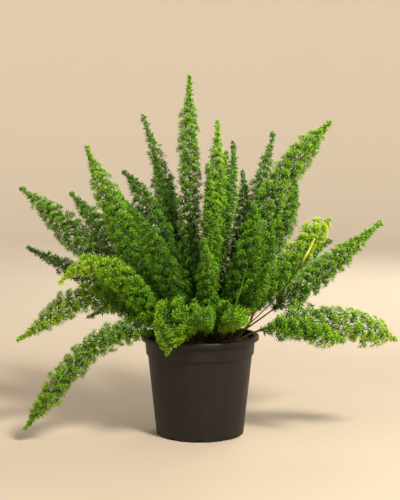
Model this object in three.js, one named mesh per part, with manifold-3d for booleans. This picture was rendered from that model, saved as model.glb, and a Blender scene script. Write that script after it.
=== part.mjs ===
// Potted foxtail fern in a plastic nursery pot. Millimetres, +Z up, front towards -Y.
// The origin is the middle of the pot's base, on the surface that the pot stands on.
import * as THREE from 'three';
import { mergeVertices } from 'three/addons/utils/BufferGeometryUtils.js';
import Module from 'manifold-3d';

const wasm = await Module();
wasm.setup();

// ---- Driving dimensions ----

const GAP = 0.3; // between pieces that touch

const POT = {
  height: 144,
  wall: 1.5,
  rimRadius: 85, // outside of the turned-over lip
  lipDrop: 6.7,
  lipSkirt: 2,
  collarTopRadius: 79.2,
  collarFootRadius: 77.6,
  collarFootHeight: 116,
  bodyTopRadius: 75.3,
  baseRadius: 63,
  footRadius: 61.6, // outer edge of the ring that the pot stands on
  footWidth: 4,
  padRadius: 26, // the flat middle of the base, which also touches the ground
  baseLift: 3.5, // height of the drain channel between the pad and the foot
  segments: 60,
};

const DRAIN = { count: 10, notchWidth: 10, notchDepth: 9, slotLength: 14, slotWidth: 3.4, slotRadius: 44 };

const MIX = { top: 132, middleRise: 1.5, segments: 40 };

const CROWN = {
  radius: 59,
  top: 140,
  edgeHeight: 133.4,
  depth: 16,
  roots: 9,
  rootReach: 50,
  rootDrop: 80,
  rootRadius: 5,
};

const FROND = {
  stem: 1.3, // smallest radius of any frond
  bare: 0.12,
  steps: 10,
  sides: 6,
  clearance: 1.6, // kept between the envelopes of neighbouring fronds
  floorClearance: 4,
  rootSpacing: 9.5,
  lift: 6,
};

// Each frond leaves the crown, is at `way` halfway along, and ends at `tip`. `girth` is the radius of its
// foliage. Where they differ from the usual, `bare` is the share of its length near the crown that has no
// foliage, `lift` makes it rise more steeply at first and bend down more later, and `root` is where it starts.
const FRONDS = [
  // Upright fronds in the middle
  { name: 'frond_tallest', way: [-15, 25, 345], tip: [-15, 25, 515], girth: 22, bare: 0.2 },
  { name: 'frond_centre_bright', way: [20, -10, 330], tip: [25, -10, 450], girth: 17 },
  { name: 'frond_centre_inner', way: [15, -20, 280], tip: [10, -35, 390], girth: 16 },
  { name: 'frond_centre_right', way: [40, 45, 315], tip: [50, 70, 420], girth: 16 },
  { name: 'frond_tall_left', way: [-50, 60, 345], tip: [-85, 70, 460], girth: 20, bare: 0.2, lift: 26 },
  { name: 'frond_tall_right', way: [80, 60, 325], tip: [110, 90, 435], girth: 18 },
  { name: 'frond_slim_left', way: [-35, 75, 275], tip: [-45, 120, 370], girth: 18 },
  { name: 'frond_dark_right', way: [60, 80, 280], tip: [65, 130, 375], girth: 20 },
  // Left side
  { name: 'frond_left_dense', way: [-70, 10, 315], tip: [-110, -10, 380], girth: 22, lift: 14 },
  { name: 'frond_left_behind', way: [-90, 50, 295], tip: [-125, 60, 345], girth: 18, lift: 10 },
  { name: 'frond_left_high', way: [-105, -10, 285], tip: [-160, -20, 415], girth: 26 },
  { name: 'frond_left_wide', way: [-135, 60, 275], tip: [-195, 80, 345], girth: 20 },
  { name: 'frond_left_long', way: [-160, 15, 265], tip: [-260, 20, 355], girth: 27 },
  { name: 'frond_left_low_behind', way: [-145, 90, 200], tip: [-265, 110, 260], girth: 18 },
  { name: 'frond_left_arching', way: [-170, -50, 200], tip: [-255, -60, 145], girth: 24, lift: 60 },
  { name: 'frond_left_young', way: [-125, -80, 245], tip: [-190, -110, 230], girth: 22 },
  { name: 'frond_left_short', way: [-105, 35, 180], tip: [-165, 45, 160], girth: 16 },
  { name: 'frond_left_drooping', way: [-150, -70, 135], tip: [-245, -60, 20], girth: 24, lift: 30 },
  // Right side
  { name: 'frond_right_high', way: [105, -10, 345], tip: [185, -20, 450], girth: 24, bare: 0.2, lift: 23 },
  { name: 'frond_right_mid', way: [130, 40, 325], tip: [140, 60, 360], girth: 22 },
  { name: 'frond_right_blunt', way: [95, -50, 215], tip: [180, -60, 315], girth: 20, lift: -20 },
  { name: 'frond_right_short', way: [95, 40, 195], tip: [195, 60, 275], girth: 20, lift: -20 },
  { name: 'frond_right_bare_stem', way: [135, 15, 200], tip: [265, 30, 305], girth: 22, bare: 0.3, lift: 0 },
  { name: 'frond_right_drooping', way: [155, -35, 168], tip: [280, -30, 140], girth: 28, bare: 0.24, lift: 0 },
  { name: 'frond_right_low', way: [140, -60, 160], tip: [200, -90, 150], girth: 20, bare: 0.28, lift: 22 },
  // Short fronds at the front, some of them over the rim
  { name: 'frond_rim_left', way: [-35, -80, 180], tip: [-45, -100, 130], girth: 28 },
  { name: 'frond_rim_centre', way: [5, -85, 180], tip: [10, -135, 180], girth: 22 },
  { name: 'frond_rim_small', way: [30, -65, 185], tip: [35, -95, 205], girth: 14 },
  { name: 'frond_rim_right', way: [50, -80, 180], tip: [55, -120, 175], girth: 20 },
  { name: 'frond_front_upright', way: [10, -60, 225], tip: [5, -90, 290], girth: 17 },
  { name: 'frond_front_left', way: [-55, -65, 260], tip: [-95, -100, 335], girth: 20 },
  { name: 'frond_front_right', way: [65, -55, 255], tip: [75, -80, 335], girth: 20 },
  { name: 'frond_front_right_low', way: [80, -70, 225], tip: [98, -110, 295], girth: 20 },
  { name: 'frond_front_right_short', way: [70, -80, 210], tip: [90, -130, 260], girth: 18 },
  // Far side
  { name: 'frond_back_upright_left', way: [-50, 95, 300], tip: [-70, 150, 400], girth: 20 },
  { name: 'frond_back_upright_right', way: [30, 100, 300], tip: [40, 165, 405], girth: 20 },
  { name: 'frond_back_high_left', way: [-95, 105, 260], tip: [-150, 160, 320], girth: 22 },
  { name: 'frond_back_high_right', way: [100, 100, 265], tip: [155, 155, 325], girth: 22 },
  { name: 'frond_back_middle', way: [-10, 120, 240], tip: [-15, 205, 295], girth: 22 },
  { name: 'frond_back_left', way: [-65, 125, 205], tip: [-110, 210, 215], girth: 22 },
  { name: 'frond_back_right', way: [60, 130, 210], tip: [100, 215, 225], girth: 22 },
  { name: 'frond_back_wide_left', way: [-115, 95, 190], tip: [-185, 155, 180], girth: 20 },
  { name: 'frond_back_wide_right', way: [115, 95, 215], tip: [170, 155, 240], girth: 20 },
  { name: 'frond_back_rim_left', way: [-35, 105, 170], tip: [-50, 155, 130], girth: 20 },
  { name: 'frond_back_rim_right', way: [35, 105, 175], tip: [45, 160, 140], girth: 20 },
  { name: 'frond_back_rim_middle', way: [0, 100, 185], tip: [0, 150, 185], girth: 18 },
  // Bare shoots and the dry end of an old stem
  { name: 'young_shoot_yellow', way: [105, -62, 205], tip: [155, -95, 290], girth: 1.7 },
  { name: 'young_shoot_green', way: [40, -75, 180], tip: [62, -100, 250], girth: 1.4 },
  { name: 'dry_stub', way: [67, -6, 155], tip: [77, -8, 178], girth: 2.2, root: [52, -2] },
];

// ---- Materials ----

function finish(color, roughness) {
  return new THREE.MeshStandardMaterial({ color, roughness, metalness: 0 });
}

const POT_PLASTIC = finish(0x1d1c1c, 0.5);
const MIX_GROUND = finish(0x3a2a1e, 0.95);
const CROWN_SKIN = finish(0x8a7350, 0.85);
const FOLIAGE = finish(0x3f8a24, 0.6);
const SHOOT_SKIN = finish(0xc9c44a, 0.55);
const DRY_STEM = finish(0xa8622a, 0.8);

// ---- Solids ----

const SPECIAL_FINISH = { young_shoot_yellow: SHOOT_SKIN, young_shoot_green: SHOOT_SKIN, dry_stub: DRY_STEM };

// The closed mesh as a solid that can be joined and cut. A lathe's poles give flat triangles, left out here.
function solidOf(geometry) {
  const bare = geometry.clone();
  bare.deleteAttribute('normal');
  bare.deleteAttribute('uv');
  const merged = mergeVertices(bare, 1e-4);
  const corners = merged.index.array;
  const kept = [];
  for (let i = 0; i < corners.length; i += 3) {
    const [a, b, c] = corners.slice(i, i + 3);
    if (a !== b && b !== c && c !== a) {
      kept.push(a, b, c);
    }
  }
  return new wasm.Manifold(new wasm.Mesh({
    numProp: 3,
    vertProperties: new Float32Array(merged.attributes.position.array),
    triVerts: new Uint32Array(kept),
  }));
}

function geometryOf(solid) {
  const mesh = solid.getMesh();
  const geometry = new THREE.BufferGeometry();
  geometry.setAttribute('position', new THREE.BufferAttribute(new Float32Array(mesh.vertProperties), 3));
  geometry.setIndex(new THREE.BufferAttribute(new Uint32Array(mesh.triVerts), 1));
  geometry.computeVertexNormals();
  return geometry;
}

function point([x, y, z]) {
  return new THREE.Vector3(x, y, z);
}

// A profile of [radius, height] pairs turned round the upright axis.
function turned(profile, segments) {
  const outline = profile.map(([radius, height]) => new THREE.Vector2(radius, height));
  return new THREE.LatheGeometry(outline, segments).rotateX(Math.PI / 2);
}

// A spindle turned on a lathe, with one radius per step, then bent so that its axis follows the curve.
function bentSpindle(curve, radii, sides) {
  const steps = radii.length - 1;
  const profile = radii.map((radius, step) => new THREE.Vector2(radius, step));
  const geometry = new THREE.LatheGeometry(profile, sides);
  const frames = curve.computeFrenetFrames(steps, false);
  const position = geometry.attributes.position;
  for (let i = 0; i < position.count; i += 1) {
    const step = Math.round(position.getY(i));
    const place = curve.getPointAt(step / steps);
    place.addScaledVector(frames.binormals[step], position.getX(i));
    place.addScaledVector(frames.normals[step], position.getZ(i));
    position.setXYZ(i, place.x, place.y, place.z);
  }
  return geometry;
}

// ---- Pot ----

function bodyRadiusAt(height) {
  const share = height / POT.collarFootHeight;
  return POT.baseRadius + (POT.bodyTopRadius - POT.baseRadius) * share;
}

// The inner face from the middle of the floor up to the rim, drawn in by `inset`.
function innerFace(inset) {
  const floor = POT.wall + inset;
  const wall = POT.wall + inset;
  const raised = POT.baseLift + floor;
  return [
    [POT.padRadius - 2, floor],
    [POT.padRadius, raised],
    [bodyRadiusAt(raised) - wall, raised],
    [POT.bodyTopRadius - wall, POT.collarFootHeight + POT.wall],
    [POT.collarFootRadius - wall, POT.collarFootHeight + 2 * POT.wall],
  ];
}

function potShell() {
  const lipFoot = POT.height - POT.lipDrop;
  const skirtInside = POT.rimRadius - POT.lipSkirt;
  const footInside = POT.footRadius - POT.footWidth;
  const outside = [
    [0, 0],
    [POT.padRadius, 0],
    [POT.padRadius + 2, POT.baseLift],
    [footInside - 1, POT.baseLift],
    [footInside, 0],
    [POT.footRadius, 0],
    [POT.baseRadius, 1.6],
    [POT.bodyTopRadius, POT.collarFootHeight - 0.8],
    [POT.collarFootRadius, POT.collarFootHeight],
    [POT.collarTopRadius, POT.height - POT.wall],
    [skirtInside, POT.height - POT.wall],
    [skirtInside, lipFoot],
    [POT.rimRadius, lipFoot],
    [POT.rimRadius, POT.height - 1.6],
    [POT.rimRadius - 1.6, POT.height],
  ];
  const inside = [
    [POT.collarTopRadius - POT.wall + 1, POT.height],
    [POT.collarTopRadius - POT.wall, POT.height - 1],
    ...innerFace(0).reverse(),
    [0, POT.wall],
  ];
  return turned([...outside, ...inside], POT.segments);
}

// Notches through the foot ring let water out, and slots in the raised channel let it through the floor.
function drainCutters() {
  const cutters = [];
  for (let i = 0; i < DRAIN.count; i += 1) {
    const bearing = (i / DRAIN.count) * 2 * Math.PI - Math.PI / 2;
    const notch = new THREE.BoxGeometry(DRAIN.notchDepth, DRAIN.notchWidth, 2 * POT.baseLift - 0.4);
    notch.translate(POT.baseRadius - 2, 0, 0);
    const slot = new THREE.BoxGeometry(DRAIN.slotLength, DRAIN.slotWidth, 6);
    slot.translate(DRAIN.slotRadius, 0, POT.baseLift + POT.wall / 2);
    cutters.push(notch.rotateZ(bearing), slot.rotateZ(bearing));
  }
  return cutters;
}

function potGeometry() {
  const shell = drainCutters().reduce(
    (solid, cutter) => solid.subtract(solidOf(cutter)),
    solidOf(potShell()),
  );
  return geometryOf(shell);
}

// ---- Crown and potting mix ----

function crownTopAt(radius) {
  const share = Math.min(radius / CROWN.radius, 1);
  return CROWN.top - (CROWN.top - CROWN.edgeHeight) * share * share;
}

// The flat woody crown with its thick roots spreading down. `grow` makes it larger all round.
function crownSolid(grow) {
  const cap = [];
  for (let i = 0; i <= 4; i += 1) {
    const radius = (CROWN.radius * i) / 4;
    cap.push([radius + (i === 4 ? grow : 0), crownTopAt(radius) + grow]);
  }
  const foot = CROWN.edgeHeight - CROWN.depth;
  const underside = [[0, foot - grow], [0.75 * CROWN.radius + grow, foot - grow]];
  const disc = turned([...underside, ...cap.reverse()], 28);
  let crown = solidOf(disc);
  for (let i = 0; i < CROWN.roots; i += 1) {
    const bearing = (i / CROWN.roots) * 2 * Math.PI;
    const outward = new THREE.Vector3(Math.cos(bearing), Math.sin(bearing), 0);
    const start = outward.clone().multiplyScalar(0.45 * CROWN.rootReach).setZ(foot + CROWN.depth / 2);
    const bend = outward.clone().multiplyScalar(CROWN.rootReach).setZ(foot - 0.25 * CROWN.rootDrop);
    const end = outward.clone().multiplyScalar(0.75 * CROWN.rootReach).setZ(foot - CROWN.rootDrop - 2 * grow);
    const curve = new THREE.QuadraticBezierCurve3(start, bend, end);
    const radii = [0, 0.8, 0.7, 0.9, 1, 0.8, 0].map((share) => share && share * CROWN.rootRadius + grow);
    crown = crown.add(solidOf(bentSpindle(curve, radii, 6)));
  }
  return crown;
}

function mixGeometry() {
  const profile = [
    [0, POT.wall + GAP],
    ...innerFace(GAP),
    [POT.collarTopRadius - POT.wall - GAP - 0.8, MIX.top],
    [CROWN.radius, MIX.top + MIX.middleRise],
    [0, MIX.top + MIX.middleRise],
  ];
  return geometryOf(solidOf(turned(profile, MIX.segments)).subtract(crownSolid(GAP)));
}

// ---- Fronds ----

// Where each frond leaves the crown: the further out it leans, the nearer the crown's edge, on its own
// side. Roots closer than the spacing are then pushed apart, a little at a time.
function frondRoots() {
  const reach = ({ way }) => Math.hypot(way[0], way[1]);
  const order = [...FRONDS].sort((a, b) => reach(a) - reach(b));
  const limit = CROWN.radius - 4;
  const roots = FRONDS.map((frond) => {
    const radius = limit * Math.sqrt((order.indexOf(frond) + 0.5) / FRONDS.length);
    const [x, y] = frond.root ?? frond.way;
    return new THREE.Vector2(x, y).setLength(frond.root ? Math.hypot(x, y) : radius);
  });
  for (let round = 0; round < 200; round += 1) {
    roots.forEach((root, i) => {
      roots.slice(i + 1).forEach((other) => {
        const apart = other.clone().sub(root);
        const short = FROND.rootSpacing - apart.length();
        if (short > 0) {
          apart.setLength(short / 2);
          root.sub(apart);
          other.add(apart);
        }
      });
      root.clampLength(0, limit);
    });
  }
  return roots;
}

// The centreline of a frond, from its root on the crown through its way point to its tip.
function centreline(frond, root) {
  const start = new THREE.Vector3(root.x, root.y, crownTopAt(root.length()) + 2 * GAP);
  const tip = point(frond.tip);
  const ends = start.clone().add(tip).multiplyScalar(0.5);
  const bend = point(frond.way).multiplyScalar(2).sub(ends);
  const lift = new THREE.Vector3(0, 0, frond.lift ?? FROND.lift);
  const rise = start.clone().lerp(bend, 2 / 3).add(lift);
  const fall = tip.clone().lerp(bend, 2 / 3).sub(lift);
  return new THREE.CubicBezierCurve3(start, rise, fall, tip);
}

// How far a place is from the nearest part of the pot's rim, and from the ground.
function roomBesideThePot(place) {
  const rimMiddle = (POT.rimRadius + POT.collarTopRadius - POT.wall) / 2;
  const rimHalfWidth = (POT.rimRadius - POT.collarTopRadius + POT.wall) / 2;
  const outward = Math.hypot(place.x, place.y);
  const above = Math.max(place.z - POT.height, 0);
  const aside = Math.abs(outward - rimMiddle) - rimHalfWidth;
  const toRim = aside > 0 ? Math.hypot(above, aside) : above;
  const toCrown = outward < POT.rimRadius ? place.z - crownTopAt(outward) : place.z;
  return Math.min(toRim - FROND.clearance, toCrown, place.z - FROND.floorClearance);
}

// The foliage swells soon after the bare stem, stays full, and narrows to the tip.
function foliageShare(along, bare) {
  if (along <= bare) {
    return 0;
  }
  const share = (along - bare) / (1 - bare);
  return Math.min(1, share / 0.25) ** 0.7 * (1 - share ** 3.5) ** 0.8;
}

// Each frond's envelope is as fat as its foliage, but never more than half of the way to its neighbours.
function envelopeRadii(frond, curve, neighbours) {
  const radii = [];
  for (let step = 0; step <= FROND.steps; step += 1) {
    const along = step / FROND.steps;
    const place = curve.getPointAt(along);
    const nearest = Math.min(...neighbours.map((other) => place.distanceTo(other)));
    const room = Math.min((nearest - FROND.clearance) / 2, roomBesideThePot(place));
    const full = Math.max(FROND.stem, frond.girth * foliageShare(along, frond.bare ?? FROND.bare));
    const ends = step === 0 || step === FROND.steps;
    radii.push(ends ? 0 : Math.max(FROND.stem, Math.min(full, room)));
  }
  return radii;
}

function frondMeshes() {
  const roots = frondRoots();
  const curves = FRONDS.map((frond, i) => centreline(frond, roots[i]));
  const samples = curves.map((curve) => curve.getSpacedPoints(4 * FROND.steps));
  return FRONDS.map((frond, i) => {
    const neighbours = samples.filter((_, other) => other !== i).flat();
    const radii = envelopeRadii(frond, curves[i], neighbours);
    const geometry = bentSpindle(curves[i], radii, FROND.sides);
    return named(frond.name, geometry, SPECIAL_FINISH[frond.name] ?? FOLIAGE);
  });
}

// ---- The whole plant in its pot ----

function named(name, geometry, material) {
  const mesh = new THREE.Mesh(geometry, material);
  mesh.name = name;
  return mesh;
}

const plant = new THREE.Group();
plant.add(
  named('pot', potGeometry(), POT_PLASTIC),
  named('potting_mix', mixGeometry(), MIX_GROUND),
  named('crown_with_roots', geometryOf(crownSolid(0)), CROWN_SKIN),
  ...frondMeshes(),
);

export default plant;
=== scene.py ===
import math

import bpy
import numpy as np
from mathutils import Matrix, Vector, noise


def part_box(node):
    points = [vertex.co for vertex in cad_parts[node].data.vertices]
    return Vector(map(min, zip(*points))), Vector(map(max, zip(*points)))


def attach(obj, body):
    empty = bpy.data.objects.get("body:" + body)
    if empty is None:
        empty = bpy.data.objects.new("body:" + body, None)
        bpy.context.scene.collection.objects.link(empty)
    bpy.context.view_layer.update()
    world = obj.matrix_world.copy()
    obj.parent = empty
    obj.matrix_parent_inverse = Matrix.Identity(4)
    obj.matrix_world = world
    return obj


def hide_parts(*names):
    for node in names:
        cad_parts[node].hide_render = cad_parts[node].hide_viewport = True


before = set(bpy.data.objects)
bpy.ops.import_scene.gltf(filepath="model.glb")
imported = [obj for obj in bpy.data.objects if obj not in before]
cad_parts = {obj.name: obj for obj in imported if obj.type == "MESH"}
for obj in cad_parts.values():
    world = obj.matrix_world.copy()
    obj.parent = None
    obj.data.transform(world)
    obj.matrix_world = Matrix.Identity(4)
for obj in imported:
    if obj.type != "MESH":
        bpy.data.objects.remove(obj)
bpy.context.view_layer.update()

MM = 0.001
GOLDEN_ANGLE = math.pi * (3.0 - math.sqrt(5.0))
TURN = 2 * math.pi
POT_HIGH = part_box("pot")[1]
MIX_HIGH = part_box("potting_mix")[1]
CROWN_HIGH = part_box("crown_with_roots")[1]

# The pot's outer wall, below its collar.
BODY_FOOT_RADIUS = 63 * MM
BODY_TOP_RADIUS = 75.3 * MM
BODY_TOP = 116 * MM
WALL = 1.5 * MM
DRAINS = 10

# Foliage. Side shoots, the sprays, leave each stem in a spiral and lean forward to the plume's surface.
# A spray bears tufts on twigs, and a tuft is a star of needles. A needle is a thin closed blade.
NEEDLE_LENGTH = 6.6 * MM
NEEDLE_WIDTH = 1.05 * MM
TWIG_WIDTH = 0.6 * MM
SPRAY_WIDTH = 1.0 * MM
SPRAY_SPACING = 2.3 * MM
SPRAY_LEAN = (25, 48, 64)               # degrees from the stem
SPRAY_LEAN_AT = (0, 30 * MM, 120 * MM)  # back from the stem's tip
SPRAY_VIGOUR = (0.76, 1.16)             # how far sprays fall short of the surface or pass it
SPRAY_BARE_FROM = 0.72                  # past this share of its length a spray is all twigs
STEM_RADII = 1.25 * MM * np.array((1.0, 0.85, 0.55, 0.3))
FOOT_LENGTH = 28 * MM  # over which a plume widens above the bare foot of its stem
TIP_LENGTH = 26 * MM   # over which needles shorten towards a plume's tip
TUFT_DEPTH = 0.75      # how far tufts stay below the surface, in needle lengths, so that needles reach it
LEAST_RADIUS = 1.4 * MM  # of the tufts round a plume's tip
LEAST_COVER = 3.6 * MM   # the radius for which tufts are counted there
GATHER = 0.48          # how far tufts are drawn from an even spread towards their spray
ACROSS_START = np.array((0.3, 0.2, 1.0))  # a direction that no twig keeps to, to turn blades from

# The map of a plant piece: tints of needles lie below the tint of twigs and stems.
TINT_RANGE = (0.02, 0.80)
TWIG_TINT = 0.90

# The shells of tufts in a plume, outermost first: the share of the plume's radius at which they sit, the
# area that each tuft covers, the share of a spray at which their twigs leave it, the needles in a tuft, and
# how those differ in size, width and tint. The inner shells' darker tint is partly their own darker green
# and partly painted shade.
SQUARE_MM = MM * MM
SHELLS = [
    {"depth": 1.00, "area": 38 * SQUARE_MM, "knot": 0.62, "needles": 7, "size": 1.0, "width": 1.05,
     "tint": 0.04},
    {"depth": 0.68, "area": 56 * SQUARE_MM, "knot": 0.35, "needles": 5, "size": 1.15, "width": 1.7,
     "tint": -0.14},
    {"depth": 0.36, "area": 80 * SQUARE_MM, "knot": 0.10, "needles": 4, "size": 1.4, "width": 2.4,
     "tint": -0.20},
]

# How each frond looks: the radius of its plume and the length over which its tip narrows, both in mm, its
# tint from 0, dark, to 1, light, how yellow its young tip is, how closely its tufts stand, and the share of
# its stem that is bare.
USUAL_LOOK = {"girth": 18, "taper": 95, "tint": 0.27, "youth": 0.20, "density": 1.0, "bare": 0.10}
LOOKS = {
    "frond_tallest": {"girth": 19.5, "taper": 120, "bare": 0.14, "tint": 0.35},
    "frond_centre_bright": {"girth": 17, "youth": 0.35, "tint": 0.36},
    "frond_centre_inner": {"girth": 16, "tint": 0.34},
    "frond_centre_right": {"girth": 15, "tint": 0.28},
    "frond_tall_left": {"girth": 17, "density": 0.85, "bare": 0.12, "taper": 120},
    "frond_tall_right": {"girth": 16, "density": 0.85},
    "frond_slim_left": {"girth": 18.5, "density": 0.85},
    "frond_dark_right": {"girth": 19, "tint": 0.22},
    "frond_left_dense": {"girth": 23, "tint": 0.19},
    "frond_left_behind": {"girth": 18, "density": 1.2, "tint": 0.24},
    "frond_left_high": {"girth": 24, "youth": 0.45, "density": 1.1, "tint": 0.33, "taper": 120},
    "frond_left_wide": {"girth": 22, "density": 1.2},
    "frond_left_long": {"girth": 24, "youth": 0.30, "density": 1.1, "taper": 110},
    "frond_left_low_behind": {"girth": 17, "tint": 0.22, "density": 1.1},
    "frond_left_arching": {"girth": 22, "youth": 0.45, "taper": 110, "density": 1.1, "tint": 0.41},
    "frond_left_young": {"girth": 22, "youth": 0.80, "tint": 0.38, "taper": 105, "density": 1.1},
    "frond_left_short": {"girth": 19},
    "frond_left_drooping": {"girth": 20, "youth": 0.35, "density": 1.15, "taper": 85, "tint": 0.40},
    "frond_right_high": {"girth": 24.5, "youth": 0.40, "density": 1.15, "taper": 95, "tint": 0.34},
    "frond_right_mid": {"girth": 22, "density": 1.2},
    "frond_right_blunt": {"girth": 20, "youth": 0.90, "taper": 26, "tint": 0.34, "density": 1.15,
                          "bare": 0.30},
    "frond_right_short": {"girth": 19, "taper": 70, "density": 1.1, "tint": 0.27, "bare": 0.24},
    "frond_right_bare_stem": {"girth": 22, "bare": 0.26, "taper": 130, "density": 1.3, "tint": 0.35,
                              "youth": 0.30},
    "frond_right_drooping": {"girth": 26, "bare": 0.22, "youth": 0.50, "taper": 60, "tint": 0.41},
    "frond_right_low": {"girth": 20, "bare": 0.26, "youth": 0.30, "taper": 50, "tint": 0.38},
    "frond_rim_left": {"girth": 32, "taper": 65, "tint": 0.41, "youth": 0.20},
    "frond_rim_centre": {"girth": 18, "taper": 45, "tint": 0.25},
    "frond_rim_small": {"girth": 16, "taper": 40, "tint": 0.28},
    "frond_rim_right": {"girth": 19, "taper": 45, "tint": 0.39, "bare": 0.16},
    "frond_front_upright": {"girth": 19, "tint": 0.30},
    "frond_front_left": {"girth": 20, "tint": 0.22},
    "frond_front_right": {"girth": 20, "tint": 0.24},
    "frond_front_right_low": {"girth": 19, "tint": 0.24, "bare": 0.26},
    "frond_front_right_short": {"girth": 18, "tint": 0.26, "bare": 0.30},
}


# ---------------------------------------------------------------- material helpers

def new_material(name):
    material = bpy.data.materials.new(name)
    material.use_nodes = True
    return material, material.node_tree, material.node_tree.nodes["Principled BSDF"]


def add_node(tree, kind, **values):
    node = tree.nodes.new(kind)
    for key, value in values.items():
        setattr(node, key, value)
    return node


def ramp(tree, factor, stops):
    """A colour ramp over a factor. Each stop is (position, (red, green, blue))."""
    node = add_node(tree, "ShaderNodeValToRGB")
    elements = node.color_ramp.elements
    while len(elements) < len(stops):
        elements.new(0.5)
    for element, (position, colour) in zip(elements, stops):
        element.position = position
        element.color = (*colour, 1.0)
    tree.links.new(factor, node.inputs["Fac"])
    return node.outputs["Color"]


def grey_ramp(tree, factor, low, high, start=0.0, end=1.0):
    return ramp(tree, factor, [(start, (low,) * 3), (end, (high,) * 3)])


def noise_node(tree, vector, scale, detail=3.0, roughness=0.5):
    node = add_node(tree, "ShaderNodeTexNoise")
    node.inputs["Scale"].default_value = scale
    node.inputs["Detail"].default_value = detail
    node.inputs["Roughness"].default_value = roughness
    tree.links.new(vector, node.inputs["Vector"])
    return node.outputs["Fac"]


def stretched(tree, vector, scale):
    node = add_node(tree, "ShaderNodeMapping")
    node.inputs["Scale"].default_value = scale
    tree.links.new(vector, node.inputs["Vector"])
    return node.outputs["Vector"]


def mix_colours(tree, blend, factor, first, second):
    """Mixes two colours. The factor is a number or a socket, and each colour a tuple or a socket."""
    node = add_node(tree, "ShaderNodeMix", data_type="RGBA", blend_type=blend)
    named = {"Factor": factor, "A": first, "B": second}
    slots = {"Factor": node.inputs[0], "A": node.inputs[6], "B": node.inputs[7]}
    for key, value in named.items():
        if isinstance(value, bpy.types.NodeSocket):
            tree.links.new(value, slots[key])
        elif isinstance(value, tuple):
            slots[key].default_value = (*value, 1.0)
        else:
            slots[key].default_value = value
    return node.outputs[2]


def bump(tree, shader, height, strength, distance):
    node = add_node(tree, "ShaderNodeBump")
    node.inputs["Strength"].default_value = strength
    node.inputs["Distance"].default_value = distance
    tree.links.new(height, node.inputs["Height"])
    tree.links.new(node.outputs["Normal"], shader.inputs["Normal"])


def object_position(tree):
    """Where a point lies in its piece, in metres, to place noise by."""
    return add_node(tree, "ShaderNodeTexCoord").outputs["Object"]


# ---------------------------------------------------------------- materials

def leaf_coordinates(tree):
    """The map of a plant piece: across it runs the tint, from old to young, and up it runs root to tip."""
    coordinates = add_node(tree, "ShaderNodeUVMap", uv_map="OFBake").outputs["UV"]
    parts = add_node(tree, "ShaderNodeSeparateXYZ")
    tree.links.new(coordinates, parts.inputs["Vector"])
    return coordinates, parts.outputs["X"], parts.outputs["Y"]


def foliage_material():
    material, tree, shader = new_material("fern_needles")
    coordinates, tint, along = leaf_coordinates(tree)
    green = ramp(tree, tint, [
        (0.00, (0.006, 0.024, 0.001)),
        (0.20, (0.050, 0.150, 0.003)),
        (0.40, (0.165, 0.410, 0.009)),
        (0.60, (0.350, 0.620, 0.014)),
        (0.80, (0.640, 0.790, 0.014)),
    ])
    lighter_tip = grey_ramp(tree, along, 0.50, 1.35)
    shaded = mix_colours(tree, "MULTIPLY", 1.0, green, lighter_tip)
    streaks = noise_node(tree, stretched(tree, coordinates, (60.0, 4.0, 1.0)), 5.0)
    fine = grey_ramp(tree, streaks, 0.86, 1.14, 0.3, 0.7)
    tree.links.new(mix_colours(tree, "MULTIPLY", 1.0, shaded, fine), shader.inputs["Base Color"])
    shader.inputs["Roughness"].default_value = 0.40
    shader.inputs["Specular IOR Level"].default_value = 0.32
    return material


def stem_material():
    material, tree, shader = new_material("fern_stem")
    coordinates, _, along = leaf_coordinates(tree)
    skin = ramp(tree, along, [
        (0.00, (0.100, 0.075, 0.025)),
        (0.10, (0.045, 0.065, 0.012)),
        (0.50, (0.040, 0.100, 0.010)),
        (1.00, (0.110, 0.240, 0.020)),
    ])
    ribs = noise_node(tree, stretched(tree, coordinates, (160.0, 14.0, 1.0)), 4.0)
    shade = grey_ramp(tree, ribs, 0.75, 1.2, 0.3, 0.7)
    tree.links.new(mix_colours(tree, "MULTIPLY", 1.0, skin, shade), shader.inputs["Base Color"])
    shader.inputs["Roughness"].default_value = 0.5
    return material


def shoot_material(name, low, high, change=0.7):
    """A bare shoot, from the colour at its foot to the one at its tip, with darker joints along it."""
    material, tree, shader = new_material(name)
    coordinates, _, along = leaf_coordinates(tree)
    skin = ramp(tree, along, [(0.0, low), (change - 0.1, low), (change, high), (1.0, high)])
    mottle = noise_node(tree, stretched(tree, coordinates, (8.0, 30.0, 1.0)), 6.0)
    shade = grey_ramp(tree, mottle, 0.7, 1.15, 0.3, 0.65)
    tree.links.new(mix_colours(tree, "MULTIPLY", 1.0, skin, shade), shader.inputs["Base Color"])
    shader.inputs["Roughness"].default_value = 0.5
    return material


def pot_material():
    material, tree, shader = new_material("pot_plastic")
    place = object_position(tree)
    streaks = noise_node(tree, stretched(tree, place, (60.0, 60.0, 8.0)), 1.0, 4.0)
    cloud = noise_node(tree, place, 35.0, 4.0)
    base = ramp(tree, streaks, [(0.3, (0.006, 0.005, 0.004)), (0.7, (0.010, 0.008, 0.007))])
    dust = grey_ramp(tree, cloud, 0.0, 0.3, 0.55, 0.8)
    dusty = mix_colours(tree, "MIX", dust, base, (0.016, 0.013, 0.011))
    tree.links.new(dusty, shader.inputs["Base Color"])
    tree.links.new(grey_ramp(tree, cloud, 0.42, 0.56, 0.3, 0.7), shader.inputs["Roughness"])
    shader.inputs["Specular IOR Level"].default_value = 0.3
    grain = noise_node(tree, place, 1800.0, 2.0)
    bump(tree, shader, grain, 0.12, 0.0002)
    return material


def mix_material():
    material, tree, shader = new_material("potting_mix")
    place = object_position(tree)
    crumbs = noise_node(tree, place, 420.0, 6.0, 0.65)
    colour = ramp(tree, crumbs, [
        (0.30, (0.006, 0.004, 0.003)),
        (0.50, (0.028, 0.015, 0.008)),
        (0.70, (0.085, 0.042, 0.020)),
    ])
    tree.links.new(colour, shader.inputs["Base Color"])
    shader.inputs["Roughness"].default_value = 0.95
    bump(tree, shader, crumbs, 0.8, 0.0012)
    return material


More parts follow.
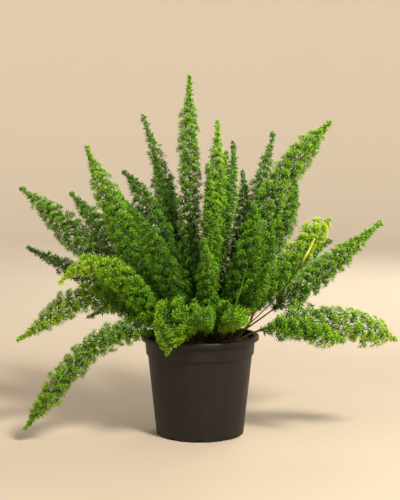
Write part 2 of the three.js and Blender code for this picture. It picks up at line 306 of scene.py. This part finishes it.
def bark_material():
    material, tree, shader = new_material("bark_chips")
    place = object_position(tree)
    grain = noise_node(tree, stretched(tree, place, (300.0, 900.0, 300.0)), 1.0, 5.0, 0.6)
    patch = noise_node(tree, place, 90.0, 2.0)
    fibres = ramp(tree, grain, [(0.3, (0.035, 0.014, 0.006)), (0.7, (0.200, 0.085, 0.034))])
    tree.links.new(
        mix_colours(tree, "MULTIPLY", 1.0, fibres, grey_ramp(tree, patch, 0.45, 1.3, 0.35, 0.65)),
        shader.inputs["Base Color"],
    )
    shader.inputs["Roughness"].default_value = 0.85
    bump(tree, shader, grain, 0.6, 0.0006)
    return material


def crown_material():
    material, tree, shader = new_material("crown_skin")
    place = object_position(tree)
    fibre = noise_node(tree, stretched(tree, place, (250.0, 250.0, 60.0)), 1.5, 5.0, 0.6)
    colour = ramp(tree, fibre, [(0.3, (0.090, 0.050, 0.022)), (0.7, (0.300, 0.190, 0.090))])
    tree.links.new(colour, shader.inputs["Base Color"])
    shader.inputs["Roughness"].default_value = 0.88
    bump(tree, shader, fibre, 0.5, 0.001)
    return material


def floor_material():
    """A plain warm pale finish, with painted light that makes it lighter far from the plant and up the
    curved wall.
    """
    material, tree, shader = new_material("studio_floor")
    place = object_position(tree)
    mottle = noise_node(tree, place, 3.0, 4.0)
    colour = ramp(tree, mottle, [(0.3, (0.46, 0.38, 0.29)), (0.7, (0.50, 0.41, 0.31))])
    # Painted light: the finish lightens with distance from the plant.
    spread = add_node(tree, "ShaderNodeVectorMath", operation="LENGTH")
    tree.links.new(stretched(tree, place, (0.25, 0.25, 0.25)), spread.inputs[0])
    far = grey_ramp(tree, spread.outputs["Value"], 0.0, 1.0, 0.12, 0.75)
    finish = mix_colours(tree, "MIX", far, colour, (0.90, 0.79, 0.66))
    tree.links.new(finish, shader.inputs["Base Color"])
    shader.inputs["Roughness"].default_value = 0.8
    return material


# ---------------------------------------------------------------- mesh helpers

def unit(vectors):
    lengths = np.linalg.norm(vectors, axis=-1, keepdims=True)
    return vectors / np.maximum(lengths, 1e-12)


class Parts:
    """Gathers vertices, triangles, map coordinates and material numbers of one piece."""

    def __init__(self):
        self.points, self.faces, self.maps, self.slots = [], [], [], []
        self.count = 0

    def add(self, points, faces, maps, slot):
        self.points.append(points)
        self.faces.append(np.asarray(faces) + self.count)
        self.maps.append(maps)
        self.slots.append(np.full(len(faces), slot))
        self.count += len(points)

    def piece(self, name, materials):
        points = np.concatenate(self.points)
        faces = np.concatenate(self.faces)
        mesh = bpy.data.meshes.new(name)
        mesh.from_pydata(points.tolist(), [], faces.tolist())
        mesh.polygons.foreach_set("use_smooth", np.ones(len(faces), bool))
        mesh.polygons.foreach_set("material_index", np.concatenate(self.slots).astype(np.int32))
        if self.maps[0] is not None:
            layer = mesh.uv_layers.new(name="OFBake")
            corner_maps = np.concatenate(self.maps)[faces.ravel()]
            layer.data.foreach_set("uv", corner_maps.astype(np.float32).ravel())
        for material in materials:
            mesh.materials.append(material)
        mesh.update()
        piece = bpy.data.objects.new(name, mesh)
        bpy.context.scene.collection.objects.link(piece)
        return piece


class Path:
    """A smooth centreline with a direction and two cross directions at every distance along it."""

    def __init__(self, points, samples=97):
        self.points = resampled(points, samples)
        steps = np.linalg.norm(np.diff(self.points, axis=0), axis=1)
        self.distances = np.concatenate([[0.0], np.cumsum(steps)])
        self.length = float(self.distances[-1])
        self.forward = unit(np.gradient(self.points, self.distances, axis=0))
        self.side = self._carried_side()
        self.up = np.cross(self.forward, self.side)

    def _carried_side(self):
        start = np.cross(self.forward[0], (0.0, 0.0, 1.0))
        if np.linalg.norm(start) < 0.05:
            start = np.array((1.0, 0.0, 0.0))
        sides = [unit(start)]
        for direction in self.forward[1:]:
            side = sides[-1] - direction * np.dot(sides[-1], direction)
            sides.append(unit(side))
        return np.array(sides)

    def at(self, distances):
        """Places, directions and the two cross directions at these distances."""
        wanted = np.clip(distances, 0.0, self.length)
        curves = (self.points, self.forward, self.side, self.up)
        found = [
            np.stack([np.interp(wanted, self.distances, curve[:, axis]) for axis in range(3)], axis=1)
            for curve in curves
        ]
        return found[0], unit(found[1]), unit(found[2]), unit(found[3])


def resampled(points, samples):
    """A Catmull-Rom curve through the points, at evenly spaced samples."""
    ends = np.vstack([2 * points[0] - points[1], points, 2 * points[-1] - points[-2]])
    curve = []
    for share in np.linspace(0.0, len(points) - 1 - 1e-9, samples):
        i = int(share)
        t = share - i
        a, b, c, d = ends[i:i + 4]
        curve.append(0.5 * (2 * b + (c - a) * t + (2 * a - 5 * b + 4 * c - d) * t * t
                            + (3 * b - a - 3 * c + d) * t ** 3))
    return np.array(curve)


def centreline(node):
    """The middle of each ring of a CAD spindle, from its root by the crown to its tip."""
    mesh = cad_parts[node].data
    corners = np.array([v.co for v in mesh.vertices])
    keys, joined = np.unique(np.round(corners / (0.01 * MM)).astype(int), axis=0, return_inverse=True)
    joined = joined.ravel()
    places = keys * (0.01 * MM)
    neighbours = [set() for _ in places]
    for edge in mesh.edges:
        a, b = joined[edge.vertices[0]], joined[edge.vertices[1]]
        neighbours[a].add(b)
        neighbours[b].add(a)
    crown_top = np.array((0.0, 0.0, CROWN_HIGH.z))
    ring = {int(np.argmin(np.linalg.norm(places - crown_top, axis=1)))}
    seen = set(ring)
    middles = []
    while ring:
        middles.append(places[sorted(ring)].mean(axis=0))
        ring = {n for i in ring for n in neighbours[i]} - seen
        seen |= ring
    return np.array(middles)


def tube(parts, path, radii, tint, slot, sides=6, rings=25):
    """A closed round stem along the path. Its map is a narrow strip at the tint."""
    distances = np.linspace(0.0, path.length, rings)
    places, _, side, up = path.at(distances)
    widths = np.interp(distances / path.length, np.linspace(0, 1, len(radii)), radii)
    angles = np.arange(sides) / sides * TURN
    ring_side = side[:, None, :] * np.cos(angles)[None, :, None]
    ring_up = up[:, None, :] * np.sin(angles)[None, :, None]
    points = places[:, None, :] + widths[:, None, None] * (ring_side + ring_up)
    points = np.vstack([points.reshape(-1, 3), places[:1], places[-1:]])
    faces = []
    for ring in range(rings - 1):
        for i in range(sides):
            a, b = ring * sides + i, ring * sides + (i + 1) % sides
            faces += [(a, b, b + sides), (a, b + sides, a + sides)]
    foot, end = rings * sides, rings * sides + 1
    last = (rings - 1) * sides
    for i in range(sides):
        faces.append((foot, (i + 1) % sides, i))
        faces.append((end, last + i, last + (i + 1) % sides))
    across = np.tile(tint + 0.05 * np.sin(angles), rings)
    along = np.repeat(distances / path.length, sides)
    maps = np.column_stack([np.append(across, [tint, tint]), np.append(along, [0.0, 1.0])])
    parts.add(points, faces, np.clip(maps, 0.005, 0.995), slot)


def blades(parts, roots, directions, sides, lengths, widths, tints, slot, map_width=0.012):
    """Closed thin blades, each with a root, a tip and two raised edges: four triangles."""
    raised = np.cross(directions, sides)
    middle = roots + directions * (0.45 * lengths)[:, None] + raised * (0.3 * widths)[:, None]
    half = sides * (0.5 * widths)[:, None]
    tips = roots + directions * lengths[:, None]
    points = np.stack([roots, tips, middle + half, middle - half], axis=1).reshape(-1, 3)
    pattern = np.array([(0, 3, 2), (1, 2, 3), (0, 2, 1), (0, 1, 3)])
    faces = (pattern[None] + 4 * np.arange(len(roots))[:, None, None]).reshape(-1, 3)
    maps = np.stack([
        np.column_stack([tints, np.full_like(tints, 0.02)]),
        np.column_stack([tints, np.full_like(tints, 0.98)]),
        np.column_stack([tints - map_width, np.full_like(tints, 0.5)]),
        np.column_stack([tints + map_width, np.full_like(tints, 0.5)]),
    ], axis=1).reshape(-1, 2)
    parts.add(points, faces, np.clip(maps, 0.002, 0.998), slot)


# ---------------------------------------------------------------- fronds

def plume_radius(distances, path, look):
    """The plume is widest above its bare foot and narrows to its tip in a rounded cone."""
    taper = min(look["taper"] * MM, 0.6 * path.length)
    from_tip = np.clip((path.length - distances) / taper, 0.0, 1.0)
    from_foot = np.clip((distances - look["bare"] * path.length) / FOOT_LENGTH, 0.0, 1.0)
    return look["girth"] * MM * (1.0 - (1.0 - from_tip) ** 2.2) * (0.25 + 0.75 * from_foot)


def outside_the_pot(points):
    """True where a place is clear of the pot's wall, of the mix and of the ground."""
    outward = np.hypot(points[:, 0], points[:, 1])
    height = points[:, 2]
    clearance = 1.5 * MM
    wall = BODY_FOOT_RADIUS + (POT_HIGH.x - BODY_FOOT_RADIUS) * np.clip(height / POT_HIGH.z, 0, 1)
    in_wall = (height < POT_HIGH.z + 0.5 * MM) & (outward > 76 * MM) & (outward < wall + clearance)
    in_mix = (height < MIX_HIGH.z + 2 * MM) & (outward < 78 * MM)
    return ~(in_wall | in_mix | (height < clearance))


def across(directions, reference, angles):
    """Directions square to these ones, turned about them by the angles."""
    first = unit(np.cross(directions, reference))
    second = np.cross(directions, first)
    return first * np.cos(angles)[:, None] + second * np.sin(angles)[:, None]


def round_stem(path, distances, angles, radii):
    """Places at these distances along the stem, angles about it and radii from it."""
    places, _, side, up = path.at(distances)
    outward = side * np.cos(angles)[:, None] + up * np.sin(angles)[:, None]
    return places + outward * radii[:, None]


def short_way(turns):
    """The same turns, each taken the short way round."""
    return (turns + math.pi) % TURN - math.pi


def stalks(parts, roots, ends, width):
    """Twigs or sprays from their roots to their ends."""
    axes = unit(ends - roots)
    count = len(axes)
    lengths = np.linalg.norm(ends - roots, axis=1)
    flats = across(axes, ACROSS_START, np.zeros(count))
    blades(parts, roots, axes, flats, lengths, np.full(count, width), np.full(count, TWIG_TINT), 1)


class Sprays:
    """Side shoots that leave a stem in a spiral and lean forward to the surface of its plume."""

    def __init__(self, path, look, random):
        bare = look["bare"] * path.length
        count = int((path.length - bare) / SPRAY_SPACING)
        feet = bare + (np.arange(count) + random.uniform(-0.4, 0.4, count)) * SPRAY_SPACING
        feet = np.clip(feet, 0.0, path.length - 2 * MM)
        to_tip = path.length - feet
        lean = np.radians(np.interp(to_tip, SPRAY_LEAN_AT, SPRAY_LEAN))
        guess = plume_radius(feet + 8 * MM, path, look)
        self.ends = np.minimum(feet + guess / np.tan(lean), path.length - 1 * MM)
        self.angles = np.arange(count) * GOLDEN_ANGLE + random.uniform(-0.3, 0.3, count)
        self.radii = plume_radius(self.ends, path, look)
        self.vigour = random.uniform(*SPRAY_VIGOUR, count)
        self.roots = path.at(feet)[0]
        self.tips = round_stem(path, self.ends, self.angles, self.radii)

    def nearest(self, distances, angles, radii):
        """For each of these places, the spray that comes closest to it."""
        turn = short_way(angles[:, None] - self.angles[None, :])
        along = distances[:, None] - self.ends[None, :]
        return np.argmin(along ** 2 + (turn * radii[:, None]) ** 2, axis=1)

    def along(self, owner, share):
        """Places on these sprays, at this share of their length."""
        return self.roots[owner] + (self.tips - self.roots)[owner] * share


def tuft_spiral(path, look, shell, random):
    """Tufts spread evenly over one shell: the distance along the stem, the angle and the radius of each."""
    samples = np.linspace(look["bare"] * path.length, path.length, 240)
    surface = plume_radius(samples, path, look)
    radii = np.maximum(shell["depth"] * (surface - TUFT_DEPTH * NEEDLE_LENGTH), LEAST_RADIUS)
    girths = TURN * np.maximum(radii[1:], LEAST_COVER)
    covered = np.concatenate([[0.0], np.cumsum(girths * np.diff(samples))])
    count = int(covered[-1] * look["density"] / shell["area"])
    wanted = (np.arange(count) + random.uniform(-0.5, 1.5, count)) / count * covered[-1]
    distances = np.interp(wanted, covered, samples)
    angles = np.arange(count) * GOLDEN_ANGLE + random.uniform(-0.12, 0.12, count) + random.uniform(0, 6.28)
    return distances, angles, np.interp(distances, samples, radii) * random.uniform(0.84, 1.10, count)


def tuft_tints_and_painted_shade(share, look, shell, random):
    """Tufts are lighter towards a young tip. Painted shade makes them darker towards the stem's foot, and
    darker in the inner shells together with those shells' own darker green.
    """
    young = look["youth"] * np.clip((share - 0.35) / 0.65, 0, 1) ** 1.6
    # Painted shade: the shell's tint and the term in share darken tufts inside the plume and near the
    # stem's foot.
    tint = look["tint"] + 0.40 * young + shell["tint"] + 0.14 * (share - 0.5)
    return tint + random.normal(0, 0.06, len(share))


def needle_directions(axes, owner, order, shell, random):
    """Needles stand round a tuft in two leans by turns, and the last one points along its twig."""
    last = shell["needles"] - 1
    total = len(owner)
    angles = order * (TURN / last) + random.uniform(0, 6.28, len(axes))[owner]
    wide_lean, narrow_lean, last_lean = 70.0, 42.0, 8.0
    lean = np.where(order % 2 == 0, wide_lean, narrow_lean)
    lean = np.where(order == last, last_lean, lean)
    lean = np.radians(lean + random.uniform(-12, 12, total))
    radial = across(axes[owner], ACROSS_START, angles)
    directions = unit(axes[owner] * np.cos(lean)[:, None] + radial * np.sin(lean)[:, None])
    return directions, across(directions, axes[owner] + 0.01, random.uniform(0, 6.28, total))


def shell_of_tufts(parts, path, look, sprays, shell, random):
    """The tufts of one shell, each a star of needles on a twig that leaves its nearest spray."""
    distances, angles, radii = tuft_spiral(path, look, shell, random)
    owner = sprays.nearest(distances, angles, radii)
    distances = distances + GATHER * (sprays.ends[owner] - distances)
    angles = angles + GATHER * short_way(sprays.angles[owner] - angles)
    centres = round_stem(path, distances, angles, radii * sprays.vigour[owner])
    knots = sprays.along(owner, shell["knot"])
    clear = outside_the_pot(centres) & outside_the_pot(knots)
    centres, knots, share = centres[clear], knots[clear], (distances / path.length)[clear]
    stalks(parts, knots, centres, TWIG_WIDTH)

    owner = np.repeat(np.arange(len(centres)), shell["needles"])
    order = np.tile(np.arange(shell["needles"]), len(centres))
    total = len(owner)
    directions, flats = needle_directions(unit(centres - knots), owner, order, shell, random)
    to_tip = path.length * (1.0 - share[owner])
    lengths = NEEDLE_LENGTH * random.uniform(0.8, 1.15, total) * shell["size"]
    lengths *= np.interp(to_tip, (0, TIP_LENGTH), (0.45, 1.0))
    widths = NEEDLE_WIDTH * random.uniform(0.85, 1.15, total) * shell["width"]
    tints = tuft_tints_and_painted_shade(share, look, shell, random)[owner] + random.normal(0, 0.03, total)
    tints = np.clip(tints, *TINT_RANGE)
    roots = centres[owner]
    keep = outside_the_pot(roots + directions * lengths[:, None])
    blades(parts, roots[keep], directions[keep], flats[keep], lengths[keep], widths[keep], tints[keep], 0)


def frond(name, materials, seed):
    """A stem with its sprays and its shells of tufts, along the middle of its CAD envelope."""
    look = {**USUAL_LOOK, **LOOKS.get(name, {})}
    random = np.random.default_rng(seed)
    path = Path(centreline(name))
    parts = Parts()
    tube(parts, path, STEM_RADII, TWIG_TINT, 1)
    sprays = Sprays(path, look, random)
    stalks(parts, sprays.roots, sprays.along(slice(None), SPRAY_BARE_FROM), SPRAY_WIDTH)
    for shell in SHELLS:
        shell_of_tufts(parts, path, look, sprays, shell, random)
    return parts.piece(name + "_foliage", materials)


def shoot(name, radii, material, scales, seed):
    """A bare stem with small scale leaves pressed against it."""
    random = np.random.default_rng(seed)
    path = Path(centreline(name))
    parts = Parts()
    tube(parts, path, radii, 0.5, 0, sides=8, rings=33)
    distances = np.linspace(0.35, 0.97, scales) * path.length
    places, forward, side, up = path.at(distances)
    turn = np.arange(scales) * GOLDEN_ANGLE
    outward = side * np.cos(turn)[:, None] + up * np.sin(turn)[:, None]
    widths = np.interp(distances / path.length, np.linspace(0, 1, len(radii)), radii)
    roots = places + outward * (0.6 * widths)[:, None]
    directions = unit(forward + 0.25 * outward)
    sizes = random.uniform(3.0, 4.5, scales) * MM
    blades(parts, roots, directions, np.cross(directions, outward), sizes, 1.8 * widths,
           np.full(scales, 0.5), 0, map_width=0.05)
    return parts.piece(name + "_skin", [material])


# ---------------------------------------------------------------- pot

def body_radius(height):
    return BODY_FOOT_RADIUS + (BODY_TOP_RADIUS - BODY_FOOT_RADIUS) * height / BODY_TOP


def arc(centre, radius, start, end, steps):
    """Points (outward, height) on an arc, its angles in degrees from outward towards up."""
    angles = np.radians(np.linspace(start, end, steps))
    return [(centre[0] + radius * math.cos(a), centre[1] + radius * math.sin(a)) for a in angles]


def pot_profile():
    top = POT_HIGH.z
    rim = POT_HIGH.x
    outside = [(0, 0), (26 * MM, 0), (28 * MM, 3.5 * MM)]
    outside += [(56.6 * MM, 3.5 * MM), (57.6 * MM, 0), (61 * MM, 0)]
    outside += arc((61.2 * MM, 1.9 * MM), 1.9 * MM, -80, -5, 6)
    outside += [(body_radius(h), h) for h in np.linspace(6 * MM, 114 * MM, 10)]
    outside += [(75.5 * MM, 115.4 * MM), (76.2 * MM, 115.9 * MM)]
    outside += [(77.2 * MM, 116.2 * MM), (77.7 * MM, 117 * MM)]
    outside += [(77.7 * MM + 1.5 * MM * s, 117 * MM + 19 * MM * s) for s in np.linspace(0.1, 1, 4)]
    outside += [(79.3 * MM, top - 1.8 * MM), (83 * MM, top - 1.8 * MM), (83 * MM, top - 6.2 * MM)]
    outside += arc((84 * MM, top - 5.9 * MM), 1.0 * MM, -130, 0, 6)
    outside += arc((rim - 2.2 * MM, top - 2.2 * MM), 2.2 * MM, 0, 90, 8)
    inside = arc((79.2 * MM, top - 1.4 * MM), 1.4 * MM, 90, 180, 6)
    inside += [(76.2 * MM, 119 * MM), (73.8 * MM, 117 * MM)]
    inside += [(body_radius(h) - WALL, h) for h in np.linspace(112 * MM, 9 * MM, 8)]
    inside += [(61 * MM, 5 * MM), (26 * MM, 5 * MM), (24 * MM, 1.5 * MM), (0, 1.5 * MM)]
    return outside + inside


def turned_mesh(name, profile, segments):
    """A closed body turned round the upright axis. The profile starts and ends on the axis."""
    points, rings = [], []
    for outward, height in profile:
        if outward < 1e-9:
            rings.append([len(points)] * segments)
            points.append((0.0, 0.0, height))
            continue
        rings.append(list(range(len(points), len(points) + segments)))
        for i in range(segments):
            angle = TURN * i / segments
            points.append((outward * math.cos(angle), outward * math.sin(angle), height))
    faces = []
    for low, high in zip(rings, rings[1:]):
        for i in range(segments):
            j = (i + 1) % segments
            corners = [low[i], low[j], high[j], high[i]]
            faces.append(list(dict.fromkeys(corners)))
    mesh = bpy.data.meshes.new(name)
    mesh.from_pydata(points, [], faces)
    return mesh


def drain_cutters():
    """Ten notches through the foot ring and ten slots through the floor, as one set of boxes."""
    points, faces = [], []
    shapes = (((57, 67), (-5, 5), (-2, 3.3)), ((37, 51), (-1.7, 1.7), (-1, 8)))
    for i in range(DRAINS):
        angle = TURN * i / DRAINS - math.pi / 2
        for x_range, y_range, z_range in shapes:
            start = len(points)
            for x in x_range:
                for y in y_range:
                    for z in z_range:
                        points.append((
                            (x * math.cos(angle) - y * math.sin(angle)) * MM,
                            (x * math.sin(angle) + y * math.cos(angle)) * MM,
                            z * MM,
                        ))
            box_faces = [(0, 1, 3, 2), (4, 6, 7, 5), (0, 4, 5, 1), (2, 3, 7, 6), (0, 2, 6, 4), (1, 5, 7, 3)]
            faces += [[start + c for c in face] for face in box_faces]
    mesh = bpy.data.meshes.new("drain_cutters")
    mesh.from_pydata(points, [], faces)
    return mesh


def linked(name, mesh):
    """A new object of the mesh, put in the scene."""
    item = bpy.data.objects.new(name, mesh)
    bpy.context.scene.collection.objects.link(item)
    return item


def apply_modifiers(item):
    graph = bpy.context.evaluated_depsgraph_get()
    mesh = bpy.data.meshes.new_from_object(item.evaluated_get(graph))
    item.modifiers.clear()
    item.data = mesh


def build_pot():
    """The turned body with its drains cut through. Its edges stay sharp above an angle of 32 degrees."""
    pot = linked("nursery_pot", turned_mesh("nursery_pot", pot_profile(), 160))
    cutter = linked("drain_cutters", drain_cutters())
    cut = pot.modifiers.new("drains", "BOOLEAN")
    cut.operation = "DIFFERENCE"
    cut.solver = "EXACT"
    cut.object = cutter
    apply_modifiers(pot)
    bpy.data.objects.remove(cutter)
    mesh = pot.data
    mesh.polygons.foreach_set("use_smooth", np.ones(len(mesh.polygons), bool))
    mesh.set_sharp_from_angle(angle=math.radians(32))
    mesh.materials.clear()
    mesh.materials.append(pot_material())
    return pot


# ---------------------------------------------------------------- potting mix

def mix_surface(outward, x, y):
    """Height of the mix: a low mound over the crown, with lumps."""
    share = min(outward / (59 * MM), 1.0)
    mound = CROWN_HIGH.z + 1.2 * MM - (CROWN_HIGH.z - MIX_HIGH.z + 1.0 * MM) * share * share
    lumps = noise.noise(Vector((x, y, 0.0)) * 140.0) * 1.6
    crumbs = noise.noise(Vector((x, y, 0.3)) * 420.0) * 0.8
    return mound + (lumps + crumbs) * MM


def build_mix():
    """The mix as one closed body: a lumpy top, and a side that follows the inside of the pot."""
    rings, segments = 34, 120
    edge = 77.0 * MM
    foot_height, foot_radius = 6 * MM, 61.3 * MM
    points = [(0.0, 0.0, mix_surface(0.0, 0.0, 0.0))]
    for ring in range(1, rings + 1):
        outward = edge * ring / rings
        for i in range(segments):
            angle = TURN * i / segments
            x, y = outward * math.cos(angle), outward * math.sin(angle)
            points.append((x, y, mix_surface(outward, x, y)))
    for outward, height in ((75.6 * MM, 120 * MM), (73.2 * MM, 115 * MM), (foot_radius, foot_height)):
        for i in range(segments):
            angle = TURN * i / segments
            points.append((outward * math.cos(angle), outward * math.sin(angle), height))
    points.append((0.0, 0.0, foot_height))
    faces = [(0, 1 + i, 1 + (i + 1) % segments) for i in range(segments)]
    for ring in range(rings + 2):
        for i in range(segments):
            a = 1 + ring * segments + i
            b = 1 + ring * segments + (i + 1) % segments
            faces.append((a, a + segments, b + segments, b))
    last = 1 + (rings + 2) * segments
    foot = len(points) - 1
    faces += [(foot, last + (i + 1) % segments, last + i) for i in range(segments)]
    mesh = bpy.data.meshes.new("potting_mix_ground")
    mesh.from_pydata(points, [], faces)
    mesh.polygons.foreach_set("use_smooth", np.ones(len(mesh.polygons), bool))
    mesh.materials.append(mix_material())
    return linked("potting_mix_ground", mesh)


def build_bark(count=520, seed=7):
    """Flat bark chips lying on the mix, each an uneven closed slab."""
    random = np.random.default_rng(seed)
    parts = Parts()
    outline = np.array([(-1, -0.8), (0.1, -1), (1, -0.6), (0.9, 0.7), (-0.2, 1), (-1, 0.6)])
    side = len(outline)
    faces = []
    for i in range(side):
        j = (i + 1) % side
        faces += [(i, j, j + side), (i, j + side, i + side)]
    faces += [(0, i + 1, i) for i in range(1, side - 1)]
    faces += [(side, side + i, side + i + 1) for i in range(1, side - 1)]
    for _ in range(count):
        outward = 75 * MM * math.sqrt(random.uniform(0.02, 1.0))
        angle = random.uniform(0, TURN)
        x, y = outward * math.cos(angle), outward * math.sin(angle)
        length = random.uniform(2.0, 6.0) * MM
        width = length * random.uniform(0.35, 0.8)
        corners = outline * (length, width) * random.uniform(0.75, 1.2, (side, 2))
        thick = random.uniform(0.8, 2.0) * MM
        low = np.column_stack([corners, np.zeros(side)])
        high = np.column_stack([corners * 0.9, np.full(side, thick)])
        slab = np.vstack([low, high]) + random.uniform(-0.15, 0.15, (2 * side, 3)) * MM
        turn = turn_matrix(random.uniform(-0.5, 0.5), random.uniform(-0.5, 0.5), random.uniform(0, 6.28))
        slab = slab @ turn.T
        slab += (x, y, mix_surface(outward, x, y) - 0.2 * MM)
        inside = np.hypot(slab[:, 0], slab[:, 1]).max() < 76.5 * MM
        if inside:
            parts.add(slab, faces, None, 0)
    return parts.piece("bark_chips", [bark_material()])


def turn_matrix(about_x, about_y, about_z):
    cx, sx = math.cos(about_x), math.sin(about_x)
    cy, sy = math.cos(about_y), math.sin(about_y)
    cz, sz = math.cos(about_z), math.sin(about_z)
    turn_x = np.array([(1, 0, 0), (0, cx, -sx), (0, sx, cx)])
    turn_y = np.array([(cy, 0, sy), (0, 1, 0), (-sy, 0, cy)])
    turn_z = np.array([(cz, -sz, 0), (sz, cz, 0), (0, 0, 1)])
    return turn_z @ turn_y @ turn_x


# ---------------------------------------------------------------- studio

def build_floor():
    """A round pale floor that curves up into a low wall all round, wide of the camera."""
    flat, bend, height, segments = 3.2, 1.0, 1.6, 96
    profile = [(0.0, 0.0), (flat / 2, 0.0)] + arc((flat, bend), bend, -90, 0, 12) + [(flat + bend, height)]
    mesh = turned_mesh("studio_floor", profile, segments)
    mesh.polygons.foreach_set("use_smooth", np.ones(len(mesh.polygons), bool))
    mesh.materials.append(floor_material())
    floor = linked("studio_floor", mesh)


def build_camera():
    """A long lens in front of the plant, a little above its middle and looking slightly down."""
    look_down = 0.094
    camera = bpy.data.cameras.new("camera")
    camera.lens = 85.8
    camera.sensor_width = 36.0
    item = bpy.data.objects.new("camera", camera)
    item.location = (0.0, -1.7, 0.426)
    item.rotation_euler = (math.pi / 2 - look_down, 0.0, 0.0)
    bpy.context.scene.collection.objects.link(item)
    bpy.context.scene.camera = item
    bpy.context.scene.view_settings.view_transform = "Standard"


def area_light(name, place, target, size, power, colour):
    light = bpy.data.lights.new(name, "AREA")
    light.size = size
    light.energy = power
    light.color = colour
    item = bpy.data.objects.new(name, light)
    item.location = place
    item.rotation_euler = (Vector(target) - Vector(place)).to_track_quat("-Z", "Y").to_euler()
    bpy.context.scene.collection.objects.link(item)


def build_lights():
    middle = (0.0, 0.0, 0.22)
    area_light("key", (1.0, -1.5, 1.9), middle, 0.5, 100.0, (1.0, 0.96, 0.86))
    area_light("fill", (-1.8, -1.4, 1.1), middle, 1.2, 10.0, (1.0, 0.98, 0.94))
    area_light("back", (0.8, 1.7, 1.5), middle, 1.2, 24.0, (1.0, 0.96, 0.86))
    world = bpy.data.worlds.new("studio")
    world.use_nodes = True
    background = world.node_tree.nodes["Background"]
    background.inputs["Color"].default_value = (0.92, 0.86, 0.78, 1.0)
    background.inputs["Strength"].default_value = 0.50
    bpy.context.scene.world = world


# ---------------------------------------------------------------- the whole plant

def fit(piece, slot_name, *nodes):
    """The piece rides on the plant's one body and stands for the nodes, which are hidden. The slot name is
    not used.
    """
    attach(piece, "root")
    if nodes:
        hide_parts(*nodes)


build_camera()
build_floor()
build_lights()

fit(build_pot(), "pot_plastic", "pot")
fit(build_mix(), "potting_mix", "potting_mix")
fit(build_bark(), "potting_mix")

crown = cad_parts["crown_with_roots"]
crown.data.materials.clear()
crown.data.materials.append(crown_material())

plant_materials = [foliage_material(), stem_material()]
fronds = sorted(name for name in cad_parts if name.startswith("frond_"))
for number, name in enumerate(fronds):
    fit(frond(name, plant_materials, seed=100 + number), "foliage", name)

yellow = shoot_material("yellow_shoot_skin", (0.012, 0.036, 0.003), (0.78, 0.76, 0.09), change=0.90)
green = shoot_material("green_shoot_skin", (0.020, 0.060, 0.004), (0.09, 0.24, 0.012), change=0.5)
dry = shoot_material("dry_stem_skin", (0.22, 0.10, 0.03), (0.50, 0.20, 0.06))
fit(
    shoot("young_shoot_yellow", np.array((0.8, 0.8, 0.8, 0.8, 0.8, 0.9, 1.9, 0.6)) * MM, yellow, 16, 31),
    "young_shoot", "young_shoot_yellow",
)
fit(
    shoot("young_shoot_green", np.array((0.9, 0.9, 0.8, 0.4)) * MM, green, 4, 32),
    "young_shoot", "young_shoot_green",
)
fit(
    shoot("dry_stub", np.array((1.6, 1.8, 2.0, 1.5)) * MM, dry, 5, 33),
    "dry_stem", "dry_stub",
)
